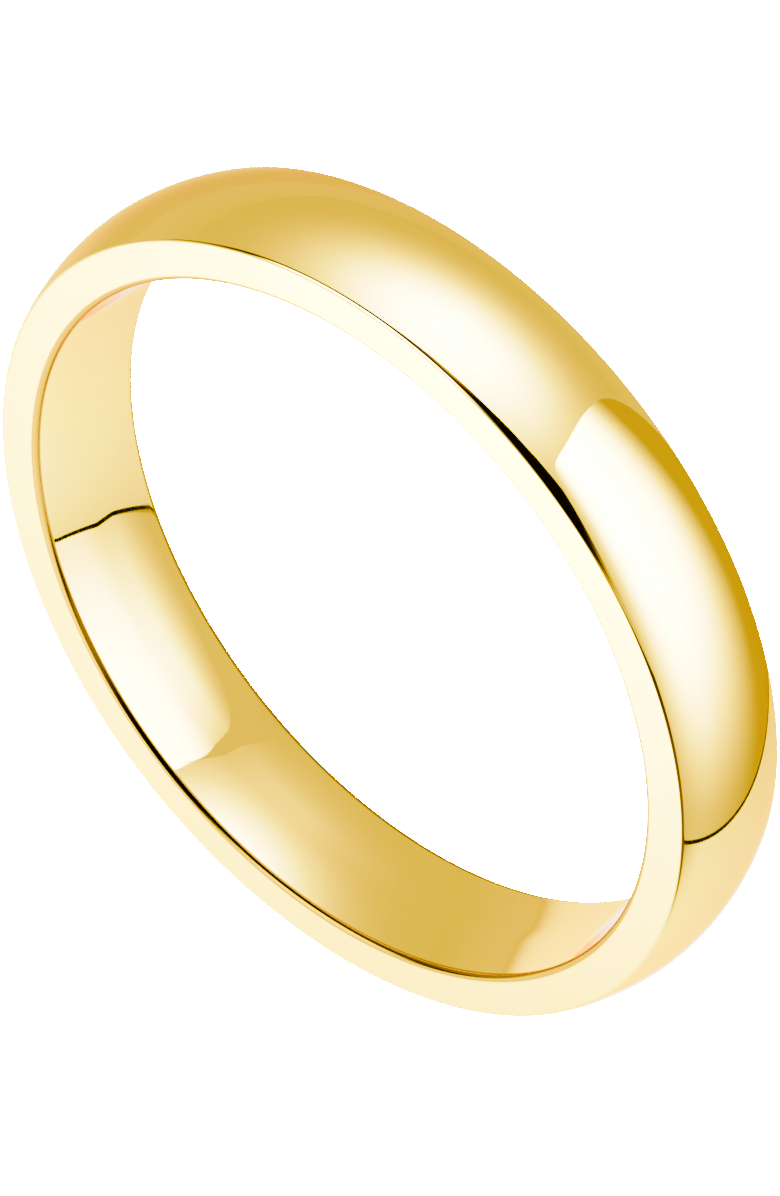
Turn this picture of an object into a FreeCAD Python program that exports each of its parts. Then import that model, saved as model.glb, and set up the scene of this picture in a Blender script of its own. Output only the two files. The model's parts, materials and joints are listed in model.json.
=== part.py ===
import FreeCAD, Part
import math
import os

# Plain court wedding band: one seamless ring of solid yellow gold, with a low domed
# outside, flat polished sides, and an inside that opens slightly towards both sides,
# so that it slides easily over a knuckle. Lengths are in millimetres. The ring stands
# upright on its rim: the finger passes along Y, Z is up, and the origin is its centre.

# Driving dimensions
INNER_DIAMETER = 18.8       # of the straight middle of the inside: the finger size, about US 9
WIDTH = 3.5                 # along the finger
THICKNESS = 1.6             # at the middle of the width, where it is thickest
STRAIGHT_BORE = 0.5         # width of the straight middle of the inside
OUTER_DOME_RADIUS = 4.2     # of the outside, in the band's section
INNER_DOME_RADIUS = 9.4     # of the inside beyond its straight middle, in the section
OUTER_CORNER_RADIUS = 0.12  # between the outside and a flat side
INNER_CORNER_RADIUS = 0.16  # between the inside and a flat side

# Worked out from the driving dimensions
BORE_RADIUS = INNER_DIAMETER / 2
CROWN_RADIUS = BORE_RADIUS + THICKNESS
HALF_WIDTH = WIDTH / 2
HALF_STRAIGHT = STRAIGHT_BORE / 2
# The centre of each dome's arc, by its distance from the finger's axis
OUTER_DOME_CENTRE = CROWN_RADIUS - OUTER_DOME_RADIUS
INNER_DOME_CENTRE = BORE_RADIUS + INNER_DOME_RADIUS

QUARTER_TURN = math.pi / 2
TOUCHING = 1e-6             # ends of curves closer than this are one point

CENTRE = FreeCAD.Vector(0, 0, 0)
FINGER_AXIS = FreeCAD.Vector(0, 1, 0)
SECTION_NORMAL = FreeCAD.Vector(0, 0, 1)


def section_arc(radial, along, radius, start, end):
    """An arc in the band's section. Its centre is given by distance from the finger's axis
    and place along it, and its angles are measured from straight outwards."""
    circle = Part.Circle(FreeCAD.Vector(radial, along, 0), SECTION_NORMAL, radius)
    return Part.ArcOfCircle(circle, start, end)


def corner_in_dome(dome_radius, corner_radius, dome_along=0):
    """Where a rounded corner touches both a flat side and a dome's arc from inside: how far
    its centre is along the finger and across from the dome's centre, and how far the dome's
    arc turns before the corner. dome_along is the place of the dome's centre."""
    along = HALF_WIDTH - corner_radius
    from_dome = along - dome_along
    across = math.sqrt((dome_radius - corner_radius) ** 2 - from_dome ** 2)
    return along, across, math.atan2(from_dome, across)


def section_arcs():
    """The arcs of the section, in order round it from the outside's dome."""
    outer_along, outer_across, outer_end = corner_in_dome(OUTER_DOME_RADIUS, OUTER_CORNER_RADIUS)
    inner_along, inner_across, inner_end = corner_in_dome(
        INNER_DOME_RADIUS, INNER_CORNER_RADIUS, HALF_STRAIGHT
    )
    outer_radial = OUTER_DOME_CENTRE + outer_across
    inner_radial = INNER_DOME_CENTRE - inner_across
    inwards = 2 * QUARTER_TURN
    three_quarters = 3 * QUARTER_TURN
    return [
        section_arc(OUTER_DOME_CENTRE, 0, OUTER_DOME_RADIUS, -outer_end, outer_end),
        section_arc(outer_radial, outer_along, OUTER_CORNER_RADIUS, outer_end, QUARTER_TURN),
        section_arc(inner_radial, inner_along, INNER_CORNER_RADIUS, QUARTER_TURN, inwards - inner_end),
        section_arc(INNER_DOME_CENTRE, HALF_STRAIGHT, INNER_DOME_RADIUS, inwards - inner_end, inwards),
        section_arc(INNER_DOME_CENTRE, -HALF_STRAIGHT, INNER_DOME_RADIUS, inwards, inwards + inner_end),
        section_arc(
            inner_radial, -inner_along, INNER_CORNER_RADIUS, inwards + inner_end, three_quarters
        ),
        section_arc(outer_radial, -outer_along, OUTER_CORNER_RADIUS, -QUARTER_TURN, -outer_end),
    ]


def band_section():
    """The section as a face. Straight lines join the arcs at the sides and inside."""
    arcs = section_arcs()
    edges = []
    for arc, next_arc in zip(arcs, arcs[1:] + arcs[:1]):
        edges.append(arc.toShape())
        if not arc.EndPoint.isEqual(next_arc.StartPoint, TOUCHING):
            edges.append(Part.LineSegment(arc.EndPoint, next_arc.StartPoint).toShape())
    return Part.Face(Part.Wire(edges))


# The band is its section turned once round the finger.
os.makedirs("parts", exist_ok=True)
band = band_section().revolve(CENTRE, FINGER_AXIS, 360)
band.exportStep("parts/band.step")
print("band: valid", band.isValid(), "faces", len(band.Faces), "volume mm3", round(band.Volume, 3))
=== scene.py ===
import json
import math

import bmesh
import bpy
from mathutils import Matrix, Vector


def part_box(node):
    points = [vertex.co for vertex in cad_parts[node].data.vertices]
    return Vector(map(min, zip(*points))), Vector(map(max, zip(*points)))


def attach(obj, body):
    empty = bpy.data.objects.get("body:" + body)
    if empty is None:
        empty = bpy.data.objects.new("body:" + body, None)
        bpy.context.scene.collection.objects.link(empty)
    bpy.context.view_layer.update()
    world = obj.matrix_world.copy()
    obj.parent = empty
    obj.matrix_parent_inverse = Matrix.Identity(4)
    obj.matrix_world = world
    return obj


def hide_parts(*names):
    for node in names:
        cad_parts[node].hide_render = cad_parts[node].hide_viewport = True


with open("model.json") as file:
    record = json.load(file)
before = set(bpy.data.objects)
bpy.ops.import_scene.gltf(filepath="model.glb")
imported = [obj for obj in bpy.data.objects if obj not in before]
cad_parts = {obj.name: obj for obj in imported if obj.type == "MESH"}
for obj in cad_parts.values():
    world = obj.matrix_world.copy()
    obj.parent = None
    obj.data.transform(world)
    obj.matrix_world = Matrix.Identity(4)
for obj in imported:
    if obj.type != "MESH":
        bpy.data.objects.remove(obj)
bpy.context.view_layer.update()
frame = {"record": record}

MM = 0.001

# The band's sizes, as in its design. The bore comes from the record's mount.
THICKNESS = 1.6 * MM
STRAIGHT_BORE = 0.5 * MM
OUTER_DOME_RADIUS = 4.2 * MM
INNER_DOME_RADIUS = 9.4 * MM
OUTER_CORNER_RADIUS = 0.12 * MM
INNER_CORNER_RADIUS = 0.16 * MM
BORE_RADIUS = frame["record"]["mounts"][0]["dims"]["r_mm"] * MM
CROWN_RADIUS = BORE_RADIUS + THICKNESS
LOW, HIGH = (Vector(corner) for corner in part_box("band"))
CENTRE = (LOW + HIGH) / 2
HALF_WIDTH = (HIGH.y - LOW.y) / 2

# Steps round the finger, and along the parts of half the section
TURN_STEPS = 480
OUTER_DOME_STEPS = 24
OUTER_CORNER_STEPS = 16
INNER_CORNER_STEPS = 12
INNER_DOME_STEPS = 12
# A flat ends in a short step, so that its corner's shading doesn't spread over it.
FLAT_END = 0.02 * MM

FINGER_AXIS = Vector((0, 1, 0))
SECTION_NORMAL = Vector((0, 0, 1))
NO_SLIDE = Vector((0, 0, 0))

# The marks in the gold's polish, in millimetres. Real polishing lines are a few thousandths
# of a millimetre apart, and these are drawn coarser, so that they show.
LINE_SPACING = 1 / 14
LINE_LENGTH = 20 / 7
PATCH_SIZE = 2
GRAIN_SIZE = 1 / 9

# The set, in millimetres. The card stands behind the ring, on the right, and faces it.
# Places on it are given along it to the back, up, and out from the ring's centre.
CARD_FACING = math.radians(106)
TO_CARD = Vector((math.sin(CARD_FACING), -math.cos(CARD_FACING), 0))
ALONG_CARD = Vector((math.cos(CARD_FACING), math.sin(CARD_FACING), 0))
CARD_OUT = 20.2
CARD_FOOT_SHADOW_OUT = 20.15
NEAR_CARD_OUT = 7
NEAR_BACK_OUT = 7.1
FLOOR_HEIGHT = -11.03
SHEEN_HEIGHT = -11.01
FLOOR_REACH = 3000
OVERHEAD_HEIGHT = 40
BACKDROP_RADIUS = 1000

# What each dark part of the room leaves of the light. It is round, at an azimuth and an
# elevation, dark up to the first of two angles and gone at the second, all in degrees.
DARK_PARTS = (
    (45, 47, 24, 35, 0.03),
    (20, 20, 12, 22, 0.03),
    (-28, 62, 14, 22, 0.2),
    (-32, 4, 26, 36, 0.25),
    (-36, 34, 22, 32, 0.25),
    (8, -4, 5, 14, 0.05),
)
# Two lamps at the front left, one low and one higher, in the same degrees
LAMPS = (
    (-25, -8, 14, 24),
    (-25, 22, 14, 24),
)
LAMP_STRENGTH = 4.5


def put(name, bm):
    """A mesh object at the origin."""
    mesh = bpy.data.meshes.new(name)
    bm.to_mesh(mesh)
    bm.free()
    placed = bpy.data.objects.new(name, mesh)
    bpy.context.scene.collection.objects.link(placed)
    return placed


def turn_end(bm, end, radial, along, angle, steps):
    """Draws the section on from its end, round a centre, and gives its new end."""
    drawn = bmesh.ops.spin(
        bm, geom=[end], cent=Vector((radial, along, 0)), axis=SECTION_NORMAL,
        dvec=NO_SLIDE, angle=angle, steps=steps,
    )
    return [item for item in drawn["geom_last"] if isinstance(item, bmesh.types.BMVert)][0]


def draw_end(bm, end, radial, along):
    """Draws the section on from its end, straight to a place, and gives its new end."""
    new_end = bmesh.ops.extrude_vert_indiv(bm, verts=[end])["verts"][0]
    new_end.co = Vector((radial, along, 0))
    return new_end


def corner_in_dome(dome_radius, corner_radius, dome_along=0):
    """Where a rounded corner touches a flat side and a dome from inside: its centre along
    the finger and across from the dome's centre, and how far the dome turns before it."""
    along = HALF_WIDTH - corner_radius
    across = math.sqrt((dome_radius - corner_radius) ** 2 - (along - dome_along) ** 2)
    return along, across, math.atan2(along - dome_along, across)


def inner_corner():
    """The centre of the inner corner, along the finger and out from its axis, and how far
    the inside's dome turns before it."""
    along, across, turn = corner_in_dome(INNER_DOME_RADIUS, INNER_CORNER_RADIUS, STRAIGHT_BORE / 2)
    return along, BORE_RADIUS + INNER_DOME_RADIUS - across, turn


def draw_half_section(bm):
    """Half the band's section, from the dome's crown over one side to the bore's middle."""
    outer_along, outer_across, outer_turn = corner_in_dome(OUTER_DOME_RADIUS, OUTER_CORNER_RADIUS)
    inner_along, inner_radial, inner_turn = inner_corner()
    outer_centre = CROWN_RADIUS - OUTER_DOME_RADIUS
    inner_centre = BORE_RADIUS + INNER_DOME_RADIUS
    outer_radial = outer_centre + outer_across
    quarter = math.pi / 2

    end = bmesh.ops.create_vert(bm, co=Vector((CROWN_RADIUS, 0, 0)))["vert"][0]
    end = turn_end(bm, end, outer_centre, 0, outer_turn, OUTER_DOME_STEPS)
    end = turn_end(bm, end, outer_radial, outer_along, quarter - outer_turn, OUTER_CORNER_STEPS)
    end = draw_end(bm, end, outer_radial - FLAT_END, HALF_WIDTH)
    end = draw_end(bm, end, inner_radial + FLAT_END, HALF_WIDTH)
    end = draw_end(bm, end, inner_radial, HALF_WIDTH)
    end = turn_end(bm, end, inner_radial, inner_along, quarter - inner_turn, INNER_CORNER_STEPS)
    end = turn_end(bm, end, inner_centre, STRAIGHT_BORE / 2, inner_turn, INNER_DOME_STEPS)
    draw_end(bm, end, BORE_RADIUS, 0)


def make_band():
    """The band: half its section, mirrored to the other side and spun round the finger."""
    bm = bmesh.new()
    draw_half_section(bm)
    bmesh.ops.mirror(bm, geom=bm.verts[:] + bm.edges[:], axis="Y", merge_dist=0.001 * MM)
    bmesh.ops.spin(
        bm, geom=bm.verts[:] + bm.edges[:], cent=CENTRE, axis=FINGER_AXIS,
        dvec=NO_SLIDE, angle=2 * math.pi, steps=TURN_STEPS, use_merge=True,
    )
    bmesh.ops.remove_doubles(bm, verts=bm.verts[:], dist=0.0001 * MM)
    bmesh.ops.recalc_face_normals(bm, faces=bm.faces[:])
    for face in bm.faces:
        face.smooth = True
    return put("band_gold", bm)


def colour(code):
    """A linear colour with alpha from an sRGB hex code such as #FFDA45."""
    parts = [int(code[start:start + 2], 16) / 255 for start in (1, 3, 5)]
    return [part / 12.92 if part <= 0.04045 else ((part + 0.055) / 1.055) ** 2.4 for part in parts] + [1]


def add(tree, kind, inputs, output=0, **settings):
    """Adds a shader node and gives one of its outputs. Its inputs are named, or listed in
    the node's order, and each is a value or another node's output to link from."""
    node = tree.nodes.new("ShaderNode" + kind)
    for name, value in settings.items():
        setattr(node, name, value)
    for name, value in inputs.items() if isinstance(inputs, dict) else enumerate(inputs):
        if isinstance(value, bpy.types.NodeSocket):
            tree.links.new(value, node.inputs[name])
        else:
            node.inputs[name].default_value = value
    return node.outputs[output] if node.outputs else None


# A MapRange node's inputs are in the order value, from low, to high, at low, at high.
SMOOTH = {"interpolation_type": "SMOOTHSTEP"}


def new_material(name):
    """An empty material and its node tree."""
    material = bpy.data.materials.new(name)
    material.use_nodes = True
    material.node_tree.nodes.clear()
    return material, material.node_tree


def place_in_mm(tree):
    """The place of a point in the frame, in millimetres."""
    place = add(tree, "TexCoord", {}, "Object")
    return add(tree, "VectorMath", {0: place, "Scale": 1 / MM}, operation="SCALE")


def polished_gold():
    """Polished yellow gold. It gives a mirror-bright deep yellow, with hair-fine polishing
    lines round the finger and soft handling marks that break up the reflections."""
    material, tree = new_material("polished_yellow_gold")
    place = place_in_mm(tree)
    from_axis = add(tree, "VectorMath", (place, (1, 0, 1)), operation="MULTIPLY")
    radial = add(tree, "VectorMath", (from_axis,), "Value", operation="LENGTH")

    # Polishing lines: long round the finger, hair-fine across it
    fineness = (1 / LINE_LENGTH, 1 / LINE_SPACING, 1 / LINE_LENGTH)
    lines = add(
        tree, "TexNoise",
        {
            "Vector": add(tree, "VectorMath", (place, fineness), operation="MULTIPLY"),
            "W": add(tree, "Math", (radial, 1 / LINE_SPACING), operation="MULTIPLY"),
            "Scale": 1, "Detail": 3, "Roughness": 0.6,
        },
        noise_dimensions="4D",
    )
    # Handling marks: soft patches, and a fine grain
    patches = add(
        tree, "TexNoise", {"Vector": place, "Scale": 1 / PATCH_SIZE, "Detail": 3, "Roughness": 0.5},
    )
    grain = add(
        tree, "TexNoise", {"Vector": place, "Scale": 1 / GRAIN_SIZE, "Detail": 2, "Roughness": 0.6},
    )

    # The inner edges are rubbed by the finger, and keep coarser lines and more roughness. Their deeper
    # tone is painted shade, which draws a thin darker line along the inner rim.
    corner_along, corner_radial, _ = inner_corner()
    corner_along /= MM
    corner_radial /= MM
    from_middle = add(
        tree, "Math", (add(tree, "SeparateXYZ", (place,), "Y"),), operation="ABSOLUTE",
    )
    side = add(tree, "MapRange", (from_middle, corner_along - 0.02, corner_along + 0.03, 0, 1), **SMOOTH)
    inside = add(tree, "MapRange", (radial, corner_radial - 0.038, corner_radial + 0.012, 1, 0), **SMOOTH)
    edge_wear_and_shade = add(tree, "Math", (side, inside), operation="MULTIPLY")

    worn = add(tree, "MapRange", (patches, 0.35, 0.7, 0.02, 0.045), **SMOOTH)
    lined = add(tree, "MapRange", (lines, 0.4, 0.75, 0, 0.02))
    gloss = add(tree, "Math", (worn, lined), operation="ADD")
    roughness = add(tree, "Math", (edge_wear_and_shade, 0.14, gloss), operation="MULTIPLY_ADD")

    line_depth = add(tree, "Math", (edge_wear_and_shade, 6, 1), operation="MULTIPLY_ADD")
    line_relief = add(tree, "Math", (lines, line_depth), operation="MULTIPLY")
    relief = add(tree, "Math", (grain, 0.12, line_relief), operation="MULTIPLY_ADD")
    normal = add(tree, "Bump", {"Height": relief, "Strength": 0.04, "Distance": 0.003 * MM})

    tone = add(tree, "MixRGB", (patches, colour("#FFD434"), colour("#FFDA3C")))
    # The inner edge's darker colour, #A88000, is painted shade.
    tone = add(tree, "MixRGB", (edge_wear_and_shade, tone, colour("#A88000")))
    shader = add(
        tree, "BsdfPrincipled",
        {
            "Base Color": tone, "Metallic": 1, "Roughness": roughness, "Normal": normal,
            "Specular Tint": colour("#FFDC50"),
        },
    )
    add(tree, "OutputMaterial", {"Surface": shader})
    return material


def light_colour(tree, strength):
    """Light of a strength: warm where it is soft, and cool where it is strong."""
    warm = add(tree, "MapRange", (strength, 0.45, 0.75, 0.87, 1), **SMOOTH)
    cool = add(tree, "MapRange", (strength, 0.9, 2.1, 1, 1.19), **SMOOTH)
    green = add(tree, "Math", (warm, cool), operation="MULTIPLY")
    green = add(tree, "Math", (strength, green), operation="MULTIPLY")
    blue = add(tree, "MapRange", (strength, 1.2, 3.4, 0.5, 9), **SMOOTH)
    blue = add(tree, "Math", (strength, blue), operation="MULTIPLY")
    return add(tree, "CombineColor", (strength, green, blue))


def even_glow(name, code, strength):
    """Paper that shines the same all over."""
    material, tree = new_material(name)
    shader = add(tree, "Emission", {"Color": colour(code), "Strength": strength})
    add(tree, "OutputMaterial", {"Surface": shader})
    return material


def shaded_glow(name, strength_at):
    """Paper that shines with a strength that strength_at works out from the place on it."""
    material, tree = new_material(name)
    light = light_colour(tree, strength_at(tree, place_in_mm(tree)))
    shader = add(tree, "Emission", {"Color": light, "Strength": 1})
    add(tree, "OutputMaterial", {"Surface": shader})
    return material


def sheen_strength(tree, place):
    """The floor that the metal sees: bright before the ring on the left, softer away from
    there, and in the shade in front of the card's foot."""
    distance = add(tree, "VectorMath", (place, (-9, -27, -11)), "Value", operation="DISTANCE")
    fade = add(tree, "Math", (distance, -22), operation="DIVIDE")
    fade = add(tree, "Math", (fade,), operation="EXPONENT")
    sheen = add(tree, "Math", (fade, 5.2, 0.84), operation="MULTIPLY_ADD")
    out = add(tree, "VectorMath", (place, TO_CARD), "Value", operation="DOT_PRODUCT")
    along = add(tree, "VectorMath", (place, ALONG_CARD), "Value", operation="DOT_PRODUCT")
    out_shade = add(tree, "MapRange", (out, 9, 15, 0, 0.88), **SMOOTH)
    along_shade = add(tree, "MapRange", (along, -9, -3, 1, 0), **SMOOTH)
    shade = add(tree, "Math", (out_shade, along_shade), operation="MULTIPLY")
    lit = add(tree, "Math", (1, shade), operation="SUBTRACT")
    return add(tree, "Math", (sheen, lit), operation="MULTIPLY")


def card_strength(tree, place):
    """The card: brightest near its front, and fading to the back, the front and the foot."""
    along = add(tree, "VectorMath", (place, ALONG_CARD), "Value", operation="DOT_PRODUCT")
    height = add(tree, "SeparateXYZ", (place,), "Z")
    # The fade to the back leans: the higher a place is, the further back it reaches.
    leaning = add(tree, "Math", (height, 8), operation="SUBTRACT")
    leaning = add(tree, "Math", (leaning, -0.35, along), operation="MULTIPLY_ADD")
    back = add(tree, "MapRange", (leaning, -8, 14, 1, 0), **SMOOTH)
    front = add(tree, "MapRange", (along, -10.5, -3, 0.1, 1), **SMOOTH)
    foot_shade = add(tree, "MapRange", (height, -9, 14, 0.14, 1), **SMOOTH)
    bright = add(tree, "Math", (back, foot_shade), operation="MULTIPLY")
    bright = add(tree, "Math", (bright, front), operation="MULTIPLY")
    return add(tree, "Math", (bright, 5.6, 0.56), operation="MULTIPLY_ADD")


def near_card_strength(tree, place):
    """The near card: brightest at the top, and fading to the back."""
    along = add(tree, "VectorMath", (place, ALONG_CARD), "Value", operation="DOT_PRODUCT")
    height = add(tree, "SeparateXYZ", (place,), "Z")
    bright = add(tree, "MapRange", (height, -8, 3, 1.3, 3.6), **SMOOTH)
    back = add(tree, "MapRange", (along, 3, 12, 1, 0), **SMOOTH)
    return add(tree, "Math", (bright, back, 0.82), operation="MULTIPLY_ADD")


def overhead_strength(tree, place):
    """The sheet overhead: brightest above the ring."""
    spot = (2, 3, OVERHEAD_HEIGHT)
    distance = add(tree, "VectorMath", (place, spot), "Value", operation="DISTANCE")
    spread = add(tree, "Math", (distance, 16), operation="DIVIDE")
    spread = add(tree, "Math", (spread, 1.3), operation="POWER")
    fade = add(tree, "Math", (spread, -1), operation="MULTIPLY")
    fade = add(tree, "Math", (fade,), operation="EXPONENT")
    return add(tree, "Math", (fade, 4.7, 0.76), operation="MULTIPLY_ADD")


def stage(name, material, bm):
    """A piece of the set."""
    piece = put(name, bm)
    piece.data.materials.append(material)
    return piece


def show_to_camera_only(piece):
    """Keeps a piece of the set out of the metal's reflections."""
    piece.visible_glossy = False
    piece.visible_diffuse = False


def show_to_metal_only(piece):
    """Keeps a piece of the set out of the picture, but not out of the metal's reflections."""
    piece.visible_camera = False
    piece.visible_shadow = False


def level_sheet(name, material, height, left, right, front, back):
    """A level sheet of the set, between its edges."""
    bm = bmesh.new()
    for across, along in ((left, front), (right, front), (right, back), (left, back)):
        bmesh.ops.create_vert(bm, co=Vector((across, along, height)) * MM)
    bmesh.ops.contextual_create(bm, geom=bm.verts[:])
    return stage(name, material, bm)


def card_sheet(name, material, out, corners):
    """A sheet that stands like the card. Each corner has its place along it and up, and how
    far its rounding reaches."""
    bm = bmesh.new()
    verts = []
    for along, height, _ in corners:
        place = TO_CARD * out + ALONG_CARD * along + Vector((0, 0, height))
        verts += bmesh.ops.create_vert(bm, co=place * MM)["vert"]
    bmesh.ops.contextual_create(bm, geom=verts)
    for vert, (_, _, rounding) in zip(verts, corners):
        if rounding:
            bmesh.ops.bevel(
                bm, geom=[vert], offset=rounding * MM, offset_type="OFFSET", affect="VERTICES",
                segments=12, profile=0.5, material=-1,
            )
    return stage(name, material, bm)


def add_floor_and_backdrop():
    """A plain white floor and background. The metal sees none of them."""
    white = even_glow("white_paper", "#FFFFFF", 60)
    floor = level_sheet(
        "floor", white, FLOOR_HEIGHT, -FLOOR_REACH, FLOOR_REACH, -FLOOR_REACH, FLOOR_REACH,
    )
    bm = bmesh.new()
    bmesh.ops.create_uvsphere(bm, u_segments=48, v_segments=24, radius=BACKDROP_RADIUS * MM)
    for piece in (floor, stage("backdrop", white, bm)):
        show_to_camera_only(piece)


def add_lit_sheets():
    """What the metal sees: the floor's sheen, the card with the painted shadow line of its foot,
    the near card that the inside faces, and the sheet overhead."""
    sheen = level_sheet(
        "floor_sheen", shaded_glow("floor_sheen", sheen_strength), SHEEN_HEIGHT,
        -FLOOR_REACH, FLOOR_REACH, -FLOOR_REACH, FLOOR_REACH,
    )
    card = card_sheet(
        "card", shaded_glow("card_paper", card_strength), CARD_OUT,
        (
            (-10.5, -10.4, 0), (27, -10.4, 0),
            (27, 16, 3), (21.5, 23.2, 4), (10, 27.5, 4), (-10.5, 30.5, 4.3),
        ),
    )
    # A dim strip along the card's foot: a painted shadow line where the card meets the floor.
    foot_shade = card_sheet(
        "card_foot_shadow", even_glow("card_foot_shadow", "#FFF0BC", 0.03), CARD_FOOT_SHADOW_OUT,
        ((-10.5, -10.9, 0), (28, -10.9, 0), (28, -10.35, 0), (-10.5, -10.35, 0)),
    )
    near_card = card_sheet(
        "near_card", shaded_glow("near_card_paper", near_card_strength), NEAR_CARD_OUT,
        ((0.2, -6.93, 0), (11.4, -6.93, 0), (11.4, 9, 6.2), (3.4, 9, 0), (0.2, 1.5, 0)),
    )
    near_back = card_sheet(
        "near_back", even_glow("near_back_paper", "#FFFFBC", 0.82), NEAR_BACK_OUT,
        ((0.2, -6.93, 0), (16, -6.93, 0), (16, 9.2, 0), (3.4, 9.2, 0), (0.2, 1.5, 0)),
    )
    overhead = level_sheet(
        "overhead", shaded_glow("overhead_paper", overhead_strength), OVERHEAD_HEIGHT,
        -90, 90, -7, 90,
    )
    for piece in (sheen, card, foot_shade, near_card, near_back, overhead):
        show_to_metal_only(piece)


def way_towards(azimuth, elevation):
    """A way out from the ring, from degrees round from the front and up."""
    azimuth = math.radians(azimuth)
    elevation = math.radians(elevation)
    return Vector((
        math.sin(azimuth) * math.cos(elevation),
        -math.cos(azimuth) * math.cos(elevation),
        math.sin(elevation),
    ))


def round_part(tree, way, azimuth, elevation, full, gone, inside, outside):
    """A round part of the room: inside up to one angle from its middle, outside from
    another, and a smooth change between them."""
    middle = way_towards(azimuth, elevation)
    cosine = add(tree, "VectorMath", (way, middle), "Value", operation="DOT_PRODUCT")
    low = math.cos(math.radians(gone))
    high = math.cos(math.radians(full))
    return add(tree, "MapRange", (cosine, low, high, outside, inside), **SMOOTH)


def add_world():
    """Soft light all round, with dark parts on the camera's side and lamps at the left."""
    world = bpy.data.worlds.new("studio")
    bpy.context.scene.world = world
    world.use_nodes = True
    tree = world.node_tree
    tree.nodes.clear()
    way = add(tree, "TexCoord", {}, "Generated")
    height = add(tree, "SeparateXYZ", (way,), "Z")
    strength = add(tree, "MapRange", (height, 0, 0.5, 0.88, 0.74), **SMOOTH)
    for azimuth, elevation, full, gone, left in DARK_PARTS:
        dark = round_part(tree, way, azimuth, elevation, full, gone, left, 1)
        strength = add(tree, "Math", (strength, dark), operation="MULTIPLY")
    for azimuth, elevation, full, gone in LAMPS:
        lamp = round_part(tree, way, azimuth, elevation, full, gone, LAMP_STRENGTH, 0)
        strength = add(tree, "Math", (strength, lamp), operation="MAXIMUM")
    shader = add(tree, "Background", {"Color": light_colour(tree, strength), "Strength": 1})
    add(tree, "OutputWorld", {"Surface": shader})


def add_camera():
    """The camera stands high on the right, and looks through a long lens."""
    lens = bpy.data.cameras.new("camera")
    lens.sensor_width = 36
    lens.lens = 294.2
    lens.shift_x = 0.0059
    lens.shift_y = -0.0016
    lens.clip_start = 0.01
    lens.clip_end = 10
    towards_camera = way_towards(41.1, 42.6)
    camera = bpy.data.objects.new("camera", lens)
    camera.location = CENTRE + towards_camera * 230.4 * MM
    camera.rotation_mode = "QUATERNION"
    camera.rotation_quaternion = (-towards_camera).to_track_quat("-Z", "Y")
    bpy.context.scene.collection.objects.link(camera)
    bpy.context.scene.camera = camera


add_camera()
add_world()
add_floor_and_backdrop()
add_lit_sheets()
bpy.context.scene.view_settings.view_transform = "AgX"
bpy.context.scene.view_settings.look = "AgX - Very High Contrast"

band = make_band()
band.data.materials.append(polished_gold())
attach(band, "root")
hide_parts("band")
